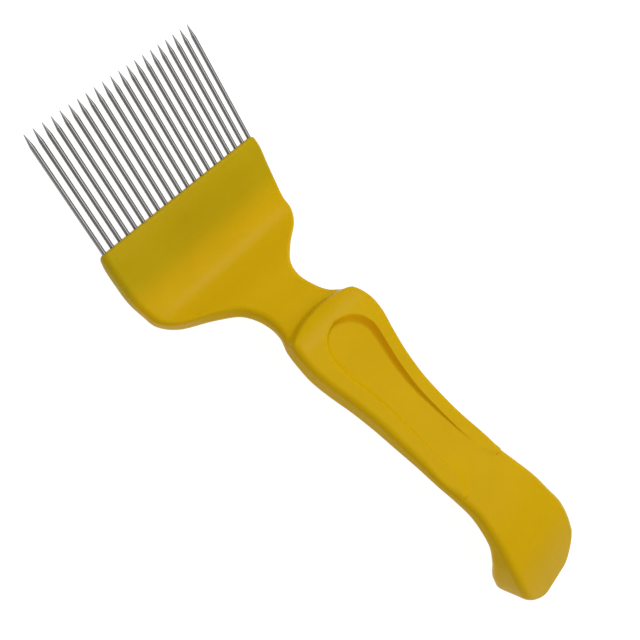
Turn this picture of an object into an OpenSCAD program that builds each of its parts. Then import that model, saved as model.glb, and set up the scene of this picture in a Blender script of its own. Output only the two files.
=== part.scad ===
// Honey uncapping fork: a moulded handle whose wide head holds a row of pointed wires.
// Millimetres. The fork lies on a table, +Z up and +Y towards the needle points. The
// origin is on the table, midway between the two sides and between the two ends.

/* [Needles] */
// Number of needles
needle_count = 21; // [11:2:21]
// Distance between neighbouring needles
needle_pitch = 3.7; // [3.2:0.1:3.7]
// Diameter of a needle
needle_d = 1.6; // [1.2:0.1:1.8]
// Length of needle outside the head, point included
needle_out = 45.5; // [35:0.5:60]
// Length of needle held inside the head
needle_in = 14; // [8:1:16]
// Length of the ground point
point_len = 4.6; // [2:0.1:8]
// Diameter of the point's blunt end
point_tip_d = 0.2; // [0.1:0.05:0.4]
// Upward lean of the needles above the table
needle_lean = 31; // [29:0.5:33]

/* [Handle] */
// Height of the needles above the table where they leave the head
head_height = 19.5; // [19.3:0.1:19.7]
// Radius of the rounded lip over the front face of the head
lip_r = 1.8; // [1:0.2:2]
// Radius of the rounded edge under the front face of the head and at its two sides
lip_under_r = 2.2; // [1.4:0.1:2.4]
// Largest radius of the top edges
top_edge_r = 2.4; // [1:0.1:3]
// Largest radius of the underside edges
under_edge_r = 3.4; // [1:0.1:4]
// Length over which the tail closes to its rounded end
tail_nose = 11; // [8:0.5:12]
// Radius of the tail's upper end edge, seen from the side
tail_edge_r = 3; // [1:0.5:4]
// Radius of the tail's lower end edge, seen from the side
tail_under_r = 5; // [1:0.5:6]

/* [Thumb rest] */
// Height of the raised pad above the handle at its front
pad_front_h = 3.5; // [2:0.1:4]
// Height of the raised pad above the handle at its rear
pad_rear_h = 0.7; // [0.4:0.1:2]
// Depth of the thumb hollow at its front
hollow_depth = 2.8; // [2:0.1:4.5]
// Width of the rim that is left around the hollow
hollow_rim = 6; // [5:0.5:8]

/* [Hidden] */
function needle_name(i) = str("needle_", i < 10 ? "0" : "", i);

// Stations of the handle from the front face of the head to the tail:
// [top y, top z, underside y, underside z, half width], with y and z measured along
// and above the table from the point where the middle needle leaves the head.
STATIONS = [
  [-0.8, 1.9, 1.0, -2.9, 39.1],
  [-5.4, -0.5, -2.4, -7.2, 39.1],
  [-11.3, -4.7, -7.8, -11.9, 38.8],
  [-17.8, -8.8, -14.4, -16.4, 38.3],
  [-23.6, -10.8, -21.0, -18.8, 37.2],
  [-29.0, -11.2, -27.4, -19.8, 35.9],
  [-34.0, -9.4, -34.0, -18.7, 30.9],
  [-38.6, -6.8, -40.2, -14.6, 22.0],
  [-43.6, -4.4, -45.8, -11.2, 15.0],
  [-49.4, -2.2, -51.2, -9.2, 12.1],
  [-55.4, 0.5, -57.0, -6.2, 11.8],
  [-61.0, 2.7, -62.2, -3.1, 13.3],
  [-66.6, 5.9, -67.2, 0.9, 17.2],
  [-73.0, 7.7, -73.4, 1.8, 18.8],
  [-80.0, 7.3, -80.0, 0.4, 18.7],
  [-88.0, 5.9, -88.0, -1.6, 17.0],
  [-97.0, 5.0, -97.0, -2.5, 15.0],
  [-107.0, 4.5, -107.0, -3.0, 13.6],
  [-117.0, 4.4, -117.0, -2.1, 13.2],
  [-127.0, 4.7, -127.0, -0.5, 13.1],
  [-136.0, 5.3, -136.0, 1.1, 13.4],
  [-144.0, 7.1, -143.6, 0.9, 13.1],
  [-152.0, 8.7, -150.8, 1.2, 13.4],
  [-160.0, 8.1, -157.0, 1.4, 14.7],
  [-168.0, 5.9, -163.0, -0.6, 15.9],
  [-176.0, 2.9, -168.8, -5.4, 17.3],
  [-185.2, -3.0, -176.0, -14.6, 17.3],
  [-195.2, -11.2, -187.4, -21.6, 15.4],
];
LAST = len(STATIONS) - 1;

// The raised pad lies between these distances behind the needle roots, and its front
// edge falls back by pad_bow towards its corners.
pad_front_y = -61.6;
pad_rear_y = -145.2;
pad_bow = 3;
pad_half_w = 16;
// Run of the pad's sloping front wall, and of its rear one at the pad's sides
pad_front_run = 2.2;
pad_rear_run = 1;
// The rear wall's run grows by this much in the middle, over this half width
pad_fade = 14;
pad_fade_w = 10;

// The thumb hollow lies between these distances. Its front is a half oval, blended
// into the straight sides over about the blend length.
hollow_front_y = -70.9;
hollow_rear_y = -136;
hollow_half_w = 12;
hollow_nose = 13;
hollow_blend = 0.7;
// Run of the hollow's sloping wall, and the distance between its cross sections
hollow_run = 2.2;
hollow_step = 5;
// Half width of the floor where it narrows away, the height at which the floor runs
// out above the pad, and the least depth that sets the slope of the walls
floor_min_w = 0.2;
floor_over = 0.1;
wall_min_h = 1;

end_steps = 5;
corner_steps = 4;
top_steps = 8;
// Tools that cut away reach at least this far past the surface
clear = 3;
far = 60;

// Rings of points between station i and the next one, closest where the pad begins
// and ends
function rings_in(i) = i < 11 ? 3 : i < 13 ? 8 : i == 20 ? 4 : i == 21 ? 12 : 2;

// Smooth curve through four neighbouring values, t from 0 to 1 between b and c
function curve(a, b, c, d, t) =
  0.5 * (2 * b + (c - a) * t + (2 * a - 5 * b + 4 * c - d) * t * t
    + (3 * b - a - 3 * c + d) * t * t * t);

// Station at any position u, from 0 at the front face to LAST at the tail
function station(u) =
  let (i = min(floor(u), LAST - 1))
  curve(STATIONS[max(i - 1, 0)], STATIONS[i], STATIONS[i + 1],
    STATIONS[min(i + 2, LAST)], u - i);

function point_top(s) = [s[0], s[1]];
function point_under(s) = [s[2], s[3]];

// Value t kept between 0 and 1
function unit(t) = max(0, min(1, t));

// Height of the pad above the plain handle
function pad_h(y) =
  lookup(-y, [[-pad_front_y, pad_front_h], [-pad_rear_y, pad_rear_h]]);
function pad_lift(x, y) =
  let (
    front = pad_front_y - pad_bow * pow(x / pad_half_w, 2),
    rear_run = pad_rear_run + pad_fade * (1 - pow(unit(abs(x) / pad_fade_w), 2))
  )
  pad_h(y) * unit((front - y) / pad_front_run) * unit((y - pad_rear_y) / rear_run);

// How far a quarter-round end of radius r stands back at a distance d from its tip
function end_inset(r, d) = d >= r ? 0 : r - sqrt(r * r - (r - d) * (r - d));

// Half width of the tail's rounded end at a distance d from its tip
function nose_w(w, d) = d >= tail_nose ? w : w * sqrt(1 - pow(1 - d / tail_nose, 1.6));

// Outline of a cross section of half width w and height h, from the middle of its
// right side round to the underside: [across, up]
function outline(w, h) =
  let (
    rt = min(top_edge_r, 0.42 * h, w),
    ru = min(under_edge_r, 0.42 * h, w),
    arc = function(x, v, r, from)
      [for (k = [0:corner_steps])
        let (a = from + 90 * k / corner_steps) [x + r * cos(a), v + r * sin(a)]]
  )
  concat(
    arc(w - ru, ru, ru, -90),
    arc(w - rt, h - rt, rt, 0),
    [for (k = [1:top_steps - 1]) [(w - rt) * (1 - 2 * k / top_steps), h]],
    arc(rt - w, h - rt, rt, 90),
    arc(ru - w, ru, ru, 180));

// Ring of points around the handle at station s, of half width w, pulled in by given
// amounts at its top and at its underside
function ring(s, w, in_top, in_under) =
  let (
    under = point_under(s),
    rise = point_top(s) - under,
    way = rise / norm(rise),
    h = norm(rise) - in_top - in_under,
    base = under + way * in_under
  )
  [for (p = outline(w, h))
    let (q = base + way * p[1])
    [p[0], q[0], q[1] + (p[1] > h / 2 ? pad_lift(p[0], q[0]) : 0)]];

front_span = norm(point_top(STATIONS[1]) - point_top(STATIONS[0]));
tail_span = norm(point_top(STATIONS[LAST]) - point_top(STATIONS[LAST - 1]));

// Distances from the two ends of the rings that round them off
TAIL_START = 0.05;
FRONT_D = [for (k = [0:end_steps]) lip_under_r * (1 - cos(90 * k / end_steps))];
TAIL_D = [for (k = [2 * end_steps:-1:0]) TAIL_START + tail_nose * (1 - cos(45 * k / end_steps))];
MIDDLE = [for (i = [0:LAST - 2]) for (k = [1:rings_in(i)])
  if (i > 0 || k == rings_in(i)) station(i + k / rings_in(i))];

HANDLE_RINGS = concat(
  [for (d = FRONT_D)
    let (s = station(d / front_span), in = end_inset(lip_under_r, d))
    ring(s, s[4] - in, end_inset(lip_r, d), in)],
  [for (s = MIDDLE) ring(s, s[4], 0, 0)],
  [for (d = TAIL_D)
    let (s = station(LAST - d / tail_span))
    ring(s, nose_w(s[4], d), end_inset(tail_edge_r, d), end_inset(tail_under_r, d))]);

TOP_Z = [for (s = MIDDLE) [s[0], s[1]]];
HALF_W = [for (s = MIDDLE) [s[0], s[4]]];

tip_reach = needle_out * cos(needle_lean);
tail_reach = min([for (r = HANDLE_RINGS) for (p = r) p[1]]);
// Moves the middle of the whole length to the origin, and the underside to the table
PLACE = [0, -(tip_reach + tail_reach) / 2, head_height];

// Closed skin through a row of rings that all have the same number of points
module skin(rings) {
  n = len(rings[0]);
  m = len(rings);
  polyhedron(
    points = [for (r = rings) for (p = r) p],
    faces = concat(
      [[for (k = [0:n - 1]) k]],
      [[for (k = [n - 1:-1:0]) (m - 1) * n + k]],
      [for (j = [0:m - 2]) for (k = [0:n - 1])
        [j * n + k, (j + 1) * n + k, (j + 1) * n + (k + 1) % n]],
      [for (j = [0:m - 2]) for (k = [0:n - 1])
        [j * n + k, (j + 1) * n + (k + 1) % n, j * n + (k + 1) % n]]),
    convexity = 6);
}

// Half width of a half oval at a distance d from its tip
function oval_w(half_w, long, d) = half_w * sqrt(1 - pow(1 - unit(d / long), 2));

// Half width of the hollow's outline at a distance y
function hollow_w(y) =
  let (
    oval = oval_w(hollow_half_w, hollow_nose, hollow_front_y - y),
    side = lookup(y, HALF_W) - hollow_rim
  )
  -hollow_blend * ln(exp(-oval / hollow_blend) + exp(-side / hollow_blend));

// Cross section of the hollow at a distance y: its floor, and its sloping walls, which
// carry on upwards past the pad's top
function hollow_ring(y) =
  let (
    from_front = hollow_front_y - y,
    t = unit((from_front - hollow_nose) / (hollow_front_y - hollow_nose - hollow_rear_y)),
    fall = 1 - pow(t, 1.3),
    top_w = hollow_w(y),
    run = hollow_run * fall,
    floor_w = max(floor_min_w, min(top_w - run,
      oval_w(hollow_half_w - hollow_run, hollow_nose - hollow_run, from_front - hollow_run))),
    down = hollow_depth * fall * unit(from_front / hollow_run) - floor_over,
    z = lookup(y, TOP_Z) + pad_h(y),
    open_w = top_w + (top_w - floor_w) * clear / max(down, 2 * run + wall_min_h)
  )
  [[-open_w, y, z + clear], [-floor_w, y, z - down],
    [floor_w, y, z - down], [open_w, y, z + clear]];

module hollow() {
  skin(concat(
    [for (k = [1:9]) hollow_ring(hollow_front_y - hollow_nose * (1 - cos(10 * k)))],
    [for (y = [hollow_front_y - hollow_nose - hollow_step:-hollow_step:hollow_rear_y])
      hollow_ring(y)]));
}

// The moulding without its needle holes
module moulding() {
  difference() {
    skin(HANDLE_RINGS);
    hollow();
    // The table, which leaves a narrow flat under the bend and under the heel
    translate([-far, -far * 4, -head_height - far]) cube([2 * far, far * 5, far]);
  }
}

function needle_x(i) = (i - (needle_count + 1) / 2) * needle_pitch;

// Puts a needle's axis in place, with its root at the head's front face
module at_needle(i) {
  translate([needle_x(i), 0, 0]) rotate([needle_lean - 90, 0, 0]) children();
}

module handle() {
  color("goldenrod") translate(PLACE) difference() {
    resize([0, 0, 0]) moulding();
    for (i = [1:needle_count])
      at_needle(i) translate([0, 0, -needle_in]) cylinder(d = needle_d, h = needle_in + clear, $fn = 24);
  }
}

module needle(i) {
  color("silver") translate(PLACE) at_needle(i) {
    translate([0, 0, -needle_in])
      cylinder(d = needle_d, h = needle_in + needle_out - point_len, $fn = 24);
    translate([0, 0, needle_out - point_len])
      cylinder(d1 = needle_d, d2 = point_tip_d, h = point_len, $fn = 24);
  }
}

handle();
for (i = [1:needle_count]) needle(i);
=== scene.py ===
# Looks of the honey uncapping fork: a golden moulded handle and 21 steel needles.
# Metres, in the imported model's frame: +Z up from the table, +Y to the needle points.
import math

import bpy
import numpy as np
from mathutils import Matrix, Vector, noise


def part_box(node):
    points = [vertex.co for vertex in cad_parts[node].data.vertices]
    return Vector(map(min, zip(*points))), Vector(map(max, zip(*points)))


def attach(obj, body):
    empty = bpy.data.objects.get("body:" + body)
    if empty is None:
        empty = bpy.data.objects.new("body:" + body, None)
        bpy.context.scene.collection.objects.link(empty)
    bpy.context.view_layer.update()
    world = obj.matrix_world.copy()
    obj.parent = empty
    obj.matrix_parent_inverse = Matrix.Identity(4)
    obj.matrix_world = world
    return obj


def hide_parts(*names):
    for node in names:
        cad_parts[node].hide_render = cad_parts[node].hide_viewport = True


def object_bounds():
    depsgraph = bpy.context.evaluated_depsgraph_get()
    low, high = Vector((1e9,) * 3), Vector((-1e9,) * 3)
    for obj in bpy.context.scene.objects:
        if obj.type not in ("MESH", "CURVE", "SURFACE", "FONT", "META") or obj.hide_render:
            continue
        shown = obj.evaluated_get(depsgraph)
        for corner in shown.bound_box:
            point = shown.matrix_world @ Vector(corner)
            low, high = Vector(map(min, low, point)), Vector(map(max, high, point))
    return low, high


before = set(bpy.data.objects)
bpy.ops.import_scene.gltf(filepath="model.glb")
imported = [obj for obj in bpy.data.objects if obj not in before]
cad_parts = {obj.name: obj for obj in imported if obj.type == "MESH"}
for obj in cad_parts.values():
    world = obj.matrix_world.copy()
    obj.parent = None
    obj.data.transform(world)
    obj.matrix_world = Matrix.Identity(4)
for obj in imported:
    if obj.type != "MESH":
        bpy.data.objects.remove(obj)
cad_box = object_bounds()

MM = 0.001
LEAN = math.radians(31)          # of the needles above the table
NEEDLES = 21
PITCH = 3.7
NEEDLE_R = 0.8
NEEDLE_OUT = 45.5
NEEDLE_IN = 14
POINT = 4.6
TIP_R = 0.1
HEAD_H = 19.5                    # of the needle roots above the table

# The needle roots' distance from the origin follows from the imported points' reach
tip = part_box("needle_11")[1]
ROOT_Y = tip.y / MM - NEEDLE_OUT * math.cos(LEAN) - TIP_R * math.sin(LEAN)
PLACE = np.array([0, ROOT_Y, HEAD_H])

# ---------------------------------------------------------------- handle shape
# Stations from the head's front face to the tail, in millimetres from the middle
# needle's root: [top y, top z, underside y, underside z, half width]. They repeat the
# table in part.scad, apart from four values at the lip and the bend. Most come from a
# least-squares fit of the outline to the photo's and from measured offsets, so they
# aren't chosen dimensions.
STATIONS = np.array([
    [-0.8, 1.9, 1.0, -2.9, 38.7],
    [-5.4, -0.5, -2.4, -7.2, 39.1],
    [-11.3, -4.7, -7.8, -11.9, 38.8],
    [-17.8, -8.8, -14.4, -16.4, 38.3],
    [-23.6, -11.2, -21.0, -18.8, 37.2],
    [-29.0, -11.0, -27.4, -19.8, 35.9],
    [-34.0, -9.2, -34.0, -18.7, 30.9],
    [-38.6, -6.8, -40.2, -14.6, 22.0],
    [-43.6, -4.4, -45.8, -11.2, 15.0],
    [-49.4, -2.2, -51.2, -9.2, 12.1],
    [-55.4, 0.5, -57.0, -6.2, 11.8],
    [-61.0, 2.7, -62.2, -3.1, 13.3],
    [-66.6, 5.9, -67.2, 0.9, 17.2],
    [-73.0, 7.7, -73.4, 1.8, 18.8],
    [-80.0, 7.3, -80.0, 0.4, 18.7],
    [-88.0, 5.9, -88.0, -1.6, 17.0],
    [-97.0, 5.0, -97.0, -2.5, 15.0],
    [-107.0, 4.5, -107.0, -3.0, 13.6],
    [-117.0, 4.4, -117.0, -2.1, 13.2],
    [-127.0, 4.7, -127.0, -0.5, 13.1],
    [-136.0, 5.3, -136.0, 1.1, 13.4],
    [-144.0, 7.1, -143.6, 0.9, 13.1],
    [-152.0, 8.7, -150.8, 1.2, 13.4],
    [-160.0, 8.1, -157.0, 1.4, 14.7],
    [-168.0, 5.9, -163.0, -0.6, 15.9],
    [-176.0, 2.9, -168.8, -5.4, 17.3],
    [-185.2, -3.0, -176.0, -14.6, 17.3],
    [-195.2, -11.2, -187.4, -21.6, 15.4],
])
LAST = len(STATIONS) - 1
# Edge radii: the front lip above and below, the sides above and below, and the tail's
LIP_R, LIP_UNDER_R = 1.8, 2.2
TOP_R, UNDER_R = 2.4, 3.4
TAIL_R, TAIL_UNDER_R = 3.0, 5.0
# The tail narrows over this length, on a curve of this power
NOSE, NOSE_POWER = 11.0, 1.6
# No edge radius takes up more of a section's height than this
MAX_R_SHARE = 0.42
# The raised pad: its ends, how far its front bows back at this half width, the runs of
# its end walls, its height at the front and at the rear, and how it fades at the rear
PAD_FRONT, PAD_REAR, PAD_BOW, PAD_HALF_W = -61.6, -145.2, 3.0, 16
PAD_RUN, PAD_REAR_RUN = 2.2, 1.0
PAD_H = (3.5, 0.7)
PAD_FADE, PAD_FADE_W = 14, 10
# The thumb hollow: its ends, the half oval at its front and the length that blends it
# into the sides, the run of its wall, its depth, and its distance from the grip's sides
HOLLOW_FRONT, HOLLOW_REAR = -70.9, -136.0
HOLLOW_HALF_W, HOLLOW_NOSE, HOLLOW_BLEND = 12.0, 13.0, 0.7
HOLLOW_RUN, HOLLOW_DEPTH, RIM = 2.2, 2.8, 6.0
# The hollow grows shallow towards the rear on a curve of this power, and its wall's run
# keeps at least this share
HOLLOW_POWER, MIN_RUN_SHARE = 1.3, 0.25
# The hollow's rim turns crisp from left to right over twice this half width, and at the
# front from this distance over this run
CRISP_HALF_W, CRISP_FROM, CRISP_RUN = 6, -81, 6
# The outline's slope is taken between points this far to each side
SLOPE_STEP = 0.25


def station(u):
    """The station row at a position along the table, on a smooth curve through the rows."""
    i = min(int(math.floor(u)), LAST - 1)
    a, b = STATIONS[max(i - 1, 0)], STATIONS[i]
    c, d = STATIONS[i + 1], STATIONS[min(i + 2, LAST)]
    t = u - i
    return 0.5 * (2 * b + (c - a) * t + (2 * a - 5 * b + 4 * c - d) * t * t
                  + (3 * b - a - 3 * c + d) * t ** 3)


def unit(t):
    return np.clip(t, 0, 1)


def soft_step(t, foot, brow):
    """A ramp from 0 to 1, rounded over these shares of its foot and of its top."""
    t = unit(t)
    slope = 1 / (1 - foot / 2 - brow / 2)
    low = slope * t * t / (2 * foot)
    mid = slope * (t - foot / 2)
    high = 1 - slope * (1 - t) ** 2 / (2 * brow)
    return np.where(t < foot, low, np.where(t > 1 - brow, high, mid))


def pad_height(y):
    return np.interp(-y, [-PAD_FRONT, -PAD_REAR], PAD_H)


def pad_lift(x, y):
    front = PAD_FRONT - PAD_BOW * (x / PAD_HALF_W) ** 2
    # The pad fades away towards the rear in its middle, and ends in a notch at its sides
    rear_run = PAD_REAR_RUN + PAD_FADE * (1 - unit(np.abs(x) / PAD_FADE_W) ** 2)
    return (pad_height(y) * soft_step((front - y) / PAD_RUN, 0.5, 0.5)
            * soft_step((y - PAD_REAR) / rear_run, 0.3, 0.3))


def hollow_half_w(y, half_w):
    """Half width of the thumb hollow's outline: a half oval, then along the sides."""
    from_front = HOLLOW_FRONT - y
    oval = HOLLOW_HALF_W * np.sqrt(1 - (1 - unit(from_front / HOLLOW_NOSE)) ** 2)
    k = HOLLOW_BLEND
    return -k * np.log(np.exp(-oval / k) + np.exp(-(half_w - RIM) / k))


def hollow_depth(x, y, half_w):
    """Depth of the thumb hollow below the pad's top at a point, and how much that point
    belongs to the wall on the right and at the front, the mask for painted bounce light."""
    from_front = HOLLOW_FRONT - y
    straight = HOLLOW_FRONT - HOLLOW_NOSE - HOLLOW_REAR
    fall = 1 - unit((from_front - HOLLOW_NOSE) / straight) ** HOLLOW_POWER
    # Distance inwards from the outline, whose slope is taken over half a millimetre
    half = hollow_half_w(y, half_w)
    rise = hollow_half_w(y - SLOPE_STEP, half_w) - hollow_half_w(y + SLOPE_STEP, half_w)
    slope = rise / (2 * SLOPE_STEP)
    inward = (half - np.abs(x)) / np.sqrt(1 + slope ** 2)
    # The rim is crisp at the front and on the right, and soft down the left side
    crisp = np.maximum(unit((x + CRISP_HALF_W) / (2 * CRISP_HALF_W)),
                       unit((y - CRISP_FROM) / CRISP_RUN))
    run = HOLLOW_RUN * np.maximum(fall, MIN_RUN_SHARE) * (2 - crisp)
    out = 1 - unit(inward / run)
    wall = 1 - crisp * soft_step(out, 0.55, 0.1) - (1 - crisp) * soft_step(out, 0.5, 0.5)
    wall = np.where((y < HOLLOW_FRONT) & (y > HOLLOW_REAR), wall, 0)
    # Share of the hollow's wall that is painted with bounce light, on the right and at the
    # front
    painted_bounce_share = (1 - (2 * wall - 1) ** 4) * unit((x + 1) / 6) * fall
    return HOLLOW_DEPTH * fall * wall, painted_bounce_share


def end_inset(r, d):
    """How far a round edge of radius r draws in at a distance d from the end."""
    return 0 if d >= r else r - math.sqrt(r * r - (r - d) ** 2)


def nose_w(w, d):
    return w if d >= NOSE else w * math.sqrt(1 - (1 - d / NOSE) ** NOSE_POWER)


ARC = 8
SIDE_STEPS = 5
UNDER_STEPS = 24
# Where the top's points lie: shares of the way from the edge to the hollow's outline,
# then distances inside that outline
RIM_SHARES = [0.15, 0.3, 0.45, 0.6, 0.72, 0.84, 0.92, 0.96, 0.985, 1.0]
WALL_D = [0.08, 0.18, 0.3, 0.45, 0.62, 0.8, 1.0, 1.2, 1.4, 1.6, 1.8, 2.0, 2.2, 2.45, 2.8]
MID_STEPS = 48


def outline(w, h, crease):
    """Closed outline of a cross section, [across, up], with points along the crease."""
    rt, ru = min(TOP_R, MAX_R_SHARE * h, w), min(UNDER_R, MAX_R_SHARE * h, w)

    def arc(x, v, r, start):
        a = np.radians(start + 90 * np.arange(ARC + 1) / ARC)
        return np.c_[x + r * np.cos(a), v + r * np.sin(a)]

    flat = w - rt
    crease = min(crease, flat * 0.8)
    inner = [flat + (crease - flat) * share for share in RIM_SHARES]
    inner += [crease - d * min(1, crease / 4) for d in WALL_D]
    mid = inner[-1] * (1 - 2 * np.arange(1, MID_STEPS) / MID_STEPS)
    top = np.array(inner + list(mid) + [-x for x in reversed(inner)])
    sides = h - rt - ru
    up = ru + sides * np.arange(1, SIDE_STEPS) / SIDE_STEPS
    under = (w - ru) * (1 - 2 * np.arange(1, UNDER_STEPS) / UNDER_STEPS)
    return np.r_[
        arc(w - ru, ru, ru, -90),
        np.c_[np.full(SIDE_STEPS - 1, w), up],
        arc(w - rt, h - rt, rt, 0),
        np.c_[top, np.full(len(top), h)],
        arc(rt - w, h - rt, rt, 90),
        np.c_[np.full(SIDE_STEPS - 1, -w), up[::-1]],
        arc(ru - w, ru, ru, 180),
        np.c_[-under, np.zeros(UNDER_STEPS - 1)],
    ]


def ring(s, w, in_top, in_under):
    """Points round the section at a station row: [x, y, z, share of the hollow's wall that
    gets painted bounce light].
    """
    under, rise = s[2:4], s[0:2] - s[2:4]
    size = np.linalg.norm(rise)
    way = rise / size
    h = size - in_top - in_under
    y_top = min(s[0], HOLLOW_FRONT - HOLLOW_NOSE / 2)
    shape = outline(w, h, float(hollow_half_w(y_top, w)))
    side_view = under + way * in_under + shape[:, 1:2] * way
    x, y, z = shape[:, 0], side_view[:, 0], side_view[:, 1].copy()
    upper = shape[:, 1] > h / 2
    on_top = shape[:, 1] > h - 1e-6
    z += np.where(upper, pad_lift(x, y), 0)
    down, painted_bounce_share = hollow_depth(x, y, w)
    return np.c_[x, y, z - np.where(on_top, down, 0), np.where(on_top, painted_bounce_share, 0)]


# Steps of the table in which u_of_y looks up a distance
TABLE_STEPS = 4000
# Rings round the front lip and round the tail, how far the last ring lies from the
# tail's end, and the distance at which the tail's own rings take over
FRONT_RINGS, TAIL_RINGS = 12, 24
TAIL_START = 0.05
TAIL_FROM = -184
# Where the rings lie on the top: from, to, and about how far apart
TOP_SPANS = [
    (-4.0, -61.4, 0.9),
    (-61.4, -68.4, 0.22),
    (-68.4, -71.2, 0.5),
    (-71.2, -82, 0.25),
    (-82, -143.8, 0.9),
    (-143.8, -145.6, 0.12),
    (-145.6, TAIL_FROM, 0.9),
]


def u_of_y(y):
    """Station position at which the top lies at a distance y."""
    us = np.linspace(0, LAST, TABLE_STEPS)
    ys = np.array([station(u)[0] for u in us])
    return np.interp(-np.atleast_1d(y), -ys, us)


def spaced(a, b, step):
    return list(np.linspace(a, b, max(2, int(round(abs(b - a) / step)) + 1))[:-1])


def handle_rings():
    rings = []
    front_span = np.linalg.norm(STATIONS[1][:2] - STATIONS[0][:2])
    for k in range(FRONT_RINGS + 1):
        d = LIP_UNDER_R * (1 - math.cos(math.radians(90 * k / FRONT_RINGS)))
        s = station(d / front_span)
        inset = end_inset(LIP_UNDER_R, d)
        rings.append(ring(s, s[4] - inset, end_inset(LIP_R, d), inset))
    top_ys = [y for span in TOP_SPANS for y in spaced(*span)]
    for u in u_of_y(np.array(top_ys)):
        s = station(u)
        rings.append(ring(s, s[4], 0, 0))
    tail_span = np.linalg.norm(STATIONS[LAST][:2] - STATIONS[LAST - 1][:2])
    for k in range(TAIL_RINGS, -1, -1):
        d = TAIL_START + NOSE * (1 - math.cos(math.radians(90 * k / TAIL_RINGS)))
        u = LAST - d / tail_span
        if u > u_of_y(TAIL_FROM)[0]:
            s = station(u)
            rings.append(ring(s, nose_w(s[4], d), end_inset(TAIL_R, d),
                              end_inset(TAIL_UNDER_R, d)))
    return rings


def new_object(name, verts, faces, smooth=True):
    mesh = bpy.data.meshes.new(name)
    mesh.from_pydata([tuple(v) for v in verts], [], faces)
    mesh.validate()
    mesh.update()
    if smooth:
        mesh.shade_smooth()
    else:
        mesh.shade_flat()
    obj = bpy.data.objects.new(name, mesh)
    bpy.context.scene.collection.objects.link(obj)
    return obj


def handle_mesh():
    """The handle's points and faces, and each point's share of the hollow's wall, the mask
    for painted bounce light.
    """
    rings = handle_rings()
    n = len(rings[0])
    rows = np.concatenate(rings)
    pts = rows[:, :3] + PLACE
    pts[:, 2] = np.maximum(pts[:, 2], 0)
    faces = []
    for j in range(len(rings) - 1):
        for k in range(n):
            k2 = (k + 1) % n
            faces.append((j * n + k, (j + 1) * n + k, (j + 1) * n + k2, j * n + k2))
    faces.append(tuple(range(n)))
    faces.append(tuple((len(rings) - 1) * n + k for k in range(n - 1, -1, -1)))
    return pts, faces, rows[:, 3]


pts, faces, bounce_light_share = handle_mesh()
# The slow unevenness of a thick moulding, faded out at the table and at the CAD box's top
WAVES_PER_MM, WAVE_DEPTH, WAVE_FADE = 0.045, 0.05, 2.0
for p in pts:
    v = Vector(p) * WAVES_PER_MM
    fade = unit(p[2] / WAVE_FADE) * unit((cad_box[1].z / MM - p[2]) / WAVE_FADE)
    p[2] -= WAVE_DEPTH * fade * (0.5 + 0.5 * noise.noise(v))
handle = new_object("handle_moulding", pts * MM, faces)
# Mask of the hollow wall's painted bounce light
bounce_light_mask = handle.data.attributes.new("painted_bounce_wall", "FLOAT", "POINT")
bounce_light_mask.data.foreach_set("value", bounce_light_share.astype(np.float32))

# --------------------------------------------------------------------- needles
AXIS = Vector((0, math.cos(LEAN), math.sin(LEAN)))
UP = Vector((0, -math.sin(LEAN), math.cos(LEAN)))
SIDE = Vector((1, 0, 0))
SEGMENTS = 32
UV_PER_MM = 0.01


def needle_root(i):
    return Vector(((i - (NEEDLES + 1) / 2) * PITCH, PLACE[1], PLACE[2]))


def lathe(name, root, profile):
    """A turned shape about a needle's axis, from [along, radius] rows."""
    verts, faces = [], []
    for along, r in profile:
        for k in range(SEGMENTS):
            a = 2 * math.pi * k / SEGMENTS
            out = SIDE * math.cos(a) + UP * math.sin(a)
            verts.append((root + AXIS * along + out * r) * MM)
    for j in range(len(profile) - 1):
        for k in range(SEGMENTS):
            k2 = (k + 1) % SEGMENTS
            faces.append((j * SEGMENTS + k, j * SEGMENTS + k2,
                          (j + 1) * SEGMENTS + k2, (j + 1) * SEGMENTS + k))
    faces.append(tuple(range(SEGMENTS - 1, -1, -1)))
    faces.append(tuple((len(profile) - 1) * SEGMENTS + k for k in range(SEGMENTS)))
    obj = new_object(name, verts, faces)
    uv = obj.data.uv_layers.new(name="wrap")
    for poly in obj.data.polygons:
        corners = [obj.data.loops[c].vertex_index for c in poly.loop_indices]
        turns = [v % SEGMENTS for v in corners]
        wraps = max(turns) - min(turns) > SEGMENTS / 2 and len(turns) == 4
        for c, v, k in zip(poly.loop_indices, corners, turns):
            turn = (k + SEGMENTS if wraps and k < SEGMENTS / 2 else k) / SEGMENTS
            uv.data[c].uv = (turn, profile[v // SEGMENTS][0] * UV_PER_MM)
    return obj


def needle_profile():
    """The wire from its root, a slightly rounded shoulder, the ground cone and its tip."""
    start = NEEDLE_OUT - POINT
    rows = [(-NEEDLE_IN, NEEDLE_R)]
    rows += [(a, NEEDLE_R) for a in np.linspace(-0.4, start - 0.3, 12)]
    rows += [(start - 0.1, NEEDLE_R - 0.004), (start + 0.1, NEEDLE_R - 0.022)]
    for t in np.linspace(0.06, 0.97, 10):
        rows.append((start + POINT * t, NEEDLE_R + (TIP_R - NEEDLE_R) * t))
    rows += [(NEEDLE_OUT - 0.06, TIP_R + 0.004), (NEEDLE_OUT - 0.015, TIP_R * 0.75),
             (NEEDLE_OUT, TIP_R * 0.3)]
    return rows


needles = [lathe(f"needle_wire_{i:02d}", needle_root(i), needle_profile())
           for i in range(1, NEEDLES + 1)]

# ------------------------------------------------------------------- materials


def material(name):
    mat = bpy.data.materials.new(name)
    mat.use_nodes = True
    nodes, links = mat.node_tree.nodes, mat.node_tree.links
    shader = nodes["Principled BSDF"]
    return mat, nodes, links, shader


def node(nodes, kind, **values):
    made = nodes.new(kind)
    for key, value in values.items():
        if key in made.inputs:
            made.inputs[key].default_value = value
        else:
            setattr(made, key, value)
    return made


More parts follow.
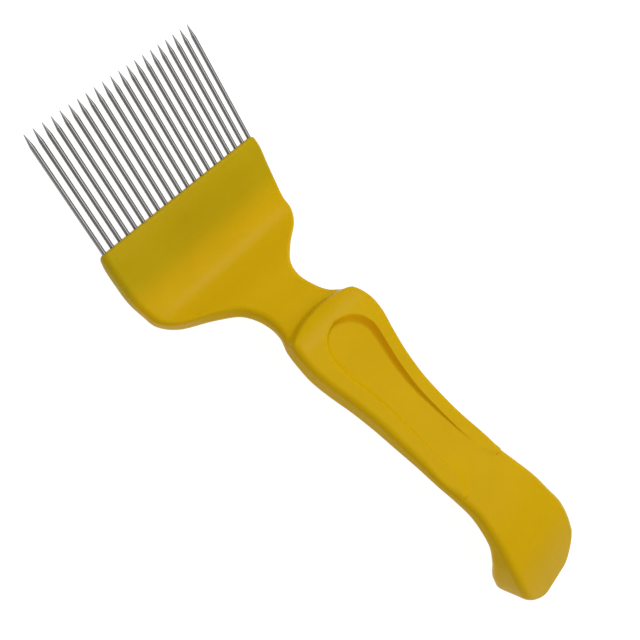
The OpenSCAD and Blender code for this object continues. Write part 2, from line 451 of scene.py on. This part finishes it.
def ramp(nodes, stops):
    made = nodes.new("ShaderNodeValToRGB")
    bar = made.color_ramp
    while len(bar.elements) < len(stops):
        bar.elements.new(0.5)
    for stop, (at, colour) in zip(bar.elements, stops):
        stop.position = at
        stop.color = (*colour, 1) if len(colour) == 3 else (colour[0],) * 3 + (1,)
    return made


def plastic():
    mat, nodes, links, shader = material("golden_plastic")
    place = nodes.new("ShaderNodeTexCoord").outputs["Object"]
    # Slow mottling of the pigment
    cloud = node(nodes, "ShaderNodeTexNoise", Scale=38.0, Detail=4.0, Roughness=0.55)
    tone = ramp(nodes, [(0.25, (0.50, 0.302, 0.0016)), (0.55, (0.52, 0.318, 0.0020)),
                        (0.8, (0.54, 0.334, 0.0028))])
    links.new(place, cloud.inputs["Vector"])
    links.new(cloud.outputs["Fac"], tone.inputs["Fac"])
    # Fine dark specks in the pigment
    specks = node(nodes, "ShaderNodeTexVoronoi", Scale=420.0, Randomness=1.0)
    dots = ramp(nodes, [(0.0, (0.8,)), (0.045, (1.0,))])
    mixed = node(nodes, "ShaderNodeMix", data_type="RGBA", blend_type="MULTIPLY")
    mixed.inputs["Factor"].default_value = 0.35
    links.new(place, specks.inputs["Vector"])
    links.new(specks.outputs["Distance"], dots.inputs["Fac"])
    links.new(tone.outputs["Color"], mixed.inputs["A"])
    links.new(dots.outputs["Color"], mixed.inputs["B"])
    # Painted shade: the head's front half is painted a little darker and greener
    axes = nodes.new("ShaderNodeSeparateXYZ")
    painted_shade_fade = node(nodes, "ShaderNodeMapRange", interpolation_type="SMOOTHSTEP")
    painted_shade_fade.inputs["From Min"].default_value = (ROOT_Y - 22) * MM
    painted_shade_fade.inputs["From Max"].default_value = (ROOT_Y - 12) * MM
    # Multiplies the head's front half darker and greener as painted shade
    painted_shade_mix = node(nodes, "ShaderNodeMix", data_type="RGBA", blend_type="MULTIPLY")
    painted_shade_mix.inputs["B"].default_value = (0.79, 0.89, 1.5, 1)
    links.new(place, axes.inputs["Vector"])
    links.new(axes.outputs["Y"], painted_shade_fade.inputs["Value"])
    links.new(painted_shade_fade.outputs["Result"], painted_shade_mix.inputs["Factor"])
    links.new(mixed.outputs["Result"], painted_shade_mix.inputs["A"])
    # Painted bounce light: the hollow's wall is painted a brighter, deeper orange through
    # the mask
    wall = nodes.new("ShaderNodeAttribute")
    wall.attribute_name = "painted_bounce_wall"
    painted_bounce_mix = node(nodes, "ShaderNodeMix", data_type="RGBA", blend_type="MIX")
    painted_bounce_mix.inputs["B"].default_value = (0.72, 0.37, 0.002, 1)
    links.new(wall.outputs["Fac"], painted_bounce_mix.inputs["Factor"])
    links.new(painted_shade_mix.outputs["Result"], painted_bounce_mix.inputs["A"])
    links.new(painted_bounce_mix.outputs["Result"], shader.inputs["Base Color"])
    # Handling marks: the gloss varies in patches
    wear = node(nodes, "ShaderNodeTexNoise", Scale=90.0, Detail=6.0, Roughness=0.7)
    gloss = ramp(nodes, [(0.3, (0.23,)), (0.7, (0.33,))])
    links.new(place, wear.inputs["Vector"])
    links.new(wear.outputs["Fac"], gloss.inputs["Fac"])
    links.new(gloss.outputs["Color"], shader.inputs["Roughness"])
    # A fine grain over shallow dimples
    grain = node(nodes, "ShaderNodeTexNoise", Scale=900.0, Detail=3.0, Roughness=0.6)
    dimple = node(nodes, "ShaderNodeTexNoise", Scale=160.0, Detail=2.0, Roughness=0.5)
    links.new(place, grain.inputs["Vector"])
    links.new(place, dimple.inputs["Vector"])
    bump_a = node(nodes, "ShaderNodeBump", Strength=0.18, Distance=0.00012)
    bump_b = node(nodes, "ShaderNodeBump", Strength=0.22, Distance=0.0005)
    links.new(dimple.outputs["Fac"], bump_b.inputs["Height"])
    links.new(bump_b.outputs["Normal"], bump_a.inputs["Normal"])
    links.new(grain.outputs["Fac"], bump_a.inputs["Height"])
    links.new(bump_a.outputs["Normal"], shader.inputs["Normal"])
    shader.inputs["IOR"].default_value = 1.5
    shader.inputs["Subsurface Weight"].default_value = 0.12
    shader.inputs["Subsurface Radius"].default_value = (1.0, 0.4, 0.03)
    shader.inputs["Subsurface Scale"].default_value = 0.002
    shader.inputs["Specular IOR Level"].default_value = 0.03
    return mat


def steel():
    mat, nodes, links, shader = material("drawn_steel")
    wrap = nodes.new("ShaderNodeUVMap")
    wrap.uv_map = "wrap"
    place = nodes.new("ShaderNodeTexCoord").outputs["Object"]
    # Drawing lines along the wire
    stretch = node(nodes, "ShaderNodeMapping")
    stretch.inputs["Scale"].default_value = (26.0, 3.0, 1.0)
    links.new(wrap.outputs["UV"], stretch.inputs["Vector"])
    lines = node(nodes, "ShaderNodeTexNoise", Scale=1.0, Detail=5.0, Roughness=0.65)
    links.new(stretch.outputs["Vector"], lines.inputs["Vector"])
    tone = ramp(nodes, [(0.3, (0.22, 0.216, 0.21)), (0.7, (0.34, 0.334, 0.325))])
    links.new(lines.outputs["Fac"], tone.inputs["Fac"])
    links.new(tone.outputs["Color"], shader.inputs["Base Color"])
    rough = ramp(nodes, [(0.3, (0.13,)), (0.7, (0.22,))])
    smear = node(nodes, "ShaderNodeTexNoise", Scale=600.0, Detail=3.0, Roughness=0.6)
    links.new(place, smear.inputs["Vector"])
    links.new(smear.outputs["Fac"], rough.inputs["Fac"])
    links.new(rough.outputs["Color"], shader.inputs["Roughness"])
    bump = node(nodes, "ShaderNodeBump", Strength=0.1, Distance=0.00003)
    links.new(lines.outputs["Fac"], bump.inputs["Height"])
    links.new(bump.outputs["Normal"], shader.inputs["Normal"])
    shader.inputs["Metallic"].default_value = 1.0
    shader.inputs["Specular Tint"].default_value = (0.12, 0.12, 0.12, 1)
    return mat


def floor_material():
    mat, _, _, shader = material("pale_floor")
    shader.inputs["Base Color"].default_value = (0.15, 0.15, 0.15, 1)
    shader.inputs["Roughness"].default_value = 0.9
    shader.inputs["Specular IOR Level"].default_value = 0.0
    shader.inputs["Emission Color"].default_value = (1, 1, 1, 1)
    shader.inputs["Emission Strength"].default_value = 0.96
    return mat


golden, wire_steel = plastic(), steel()
handle.data.materials.append(golden)
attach(handle, "root")
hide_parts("handle")
for i, wire in enumerate(needles, 1):
    wire.data.materials.append(wire_steel)
    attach(wire, "root")
    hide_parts(f"needle_{i:02d}")

# ------------------------------------------------------- floor, light and camera
FLOOR_HALF, FLOOR_Z = 12, -0.05 * MM
corners = [(-1, -1), (1, -1), (1, 1), (-1, 1)]
floor = new_object("floor", [(x * FLOOR_HALF, y * FLOOR_HALF, FLOOR_Z) for x, y in corners],
                   [(0, 1, 2, 3)], False)
floor.data.materials.append(floor_material())

world = bpy.data.worlds.new("studio")
bpy.context.scene.world = world
world.use_nodes = True
sky = world.node_tree.nodes["Background"]
sky.inputs["Color"].default_value = (1, 1, 1, 1)
sky.inputs["Strength"].default_value = 0.42


def soft_light(name, at, aim, size, watts):
    lamp = bpy.data.lights.new(name, "AREA")
    lamp.shape, lamp.size, lamp.size_y = "RECTANGLE", size[0], size[1]
    lamp.energy = watts
    obj = bpy.data.objects.new(name, lamp)
    bpy.context.scene.collection.objects.link(obj)
    obj.location = at
    obj.rotation_mode = "QUATERNION"
    obj.rotation_quaternion = (Vector(aim) - Vector(at)).to_track_quat("-Z", "Y")


soft_light("overhead", (0.25, -0.1, 1.0), (0, -0.02, 0), (0.7, 0.7), 3.8)
soft_light("key", (0.32, 0.27, 0.6), (0, 0.02, 0), (0.22, 0.22), 1.7)
soft_light("rear", (0.16, -0.43, 0.61), (0, 0.08, 0.03), (0.5, 0.36), 1.0)
soft_light("near_left", (-0.44, -0.03, 0.84), (0, 0, 0.01), (0.12, 0.12), 0.45)

# The camera's directions, its place from the middle needle's root in millimetres, and
# its lens come from a fit to the needles' tips and roots in the photo
CAMERA_RIGHT = Vector((0.6126, -0.7151, 0.3367))
CAMERA_UP = Vector((0.6243, 0.6990, 0.3487))
CAMERA_AT = Vector((-149.6, -68.05, 274.45))
SENSOR, LENS = 36, 49.7

camera_data = bpy.data.cameras.new("camera")
camera = bpy.data.objects.new("camera", camera_data)
bpy.context.scene.collection.objects.link(camera)
bpy.context.scene.camera = camera
camera_data.sensor_width, camera_data.lens = SENSOR, LENS
back = CAMERA_RIGHT.cross(CAMERA_UP).normalized()
up = back.cross(CAMERA_RIGHT).normalized()
right = up.cross(back).normalized()
at = (Vector(PLACE) + CAMERA_AT) * MM
camera.matrix_world = Matrix((
    (right.x, up.x, back.x, at.x),
    (right.y, up.y, back.y, at.y),
    (right.z, up.z, back.z, at.z),
    (0, 0, 0, 1),
))
camera_data.clip_start, camera_data.clip_end = 0.01, 20
bpy.context.scene.view_settings.view_transform = "Standard"
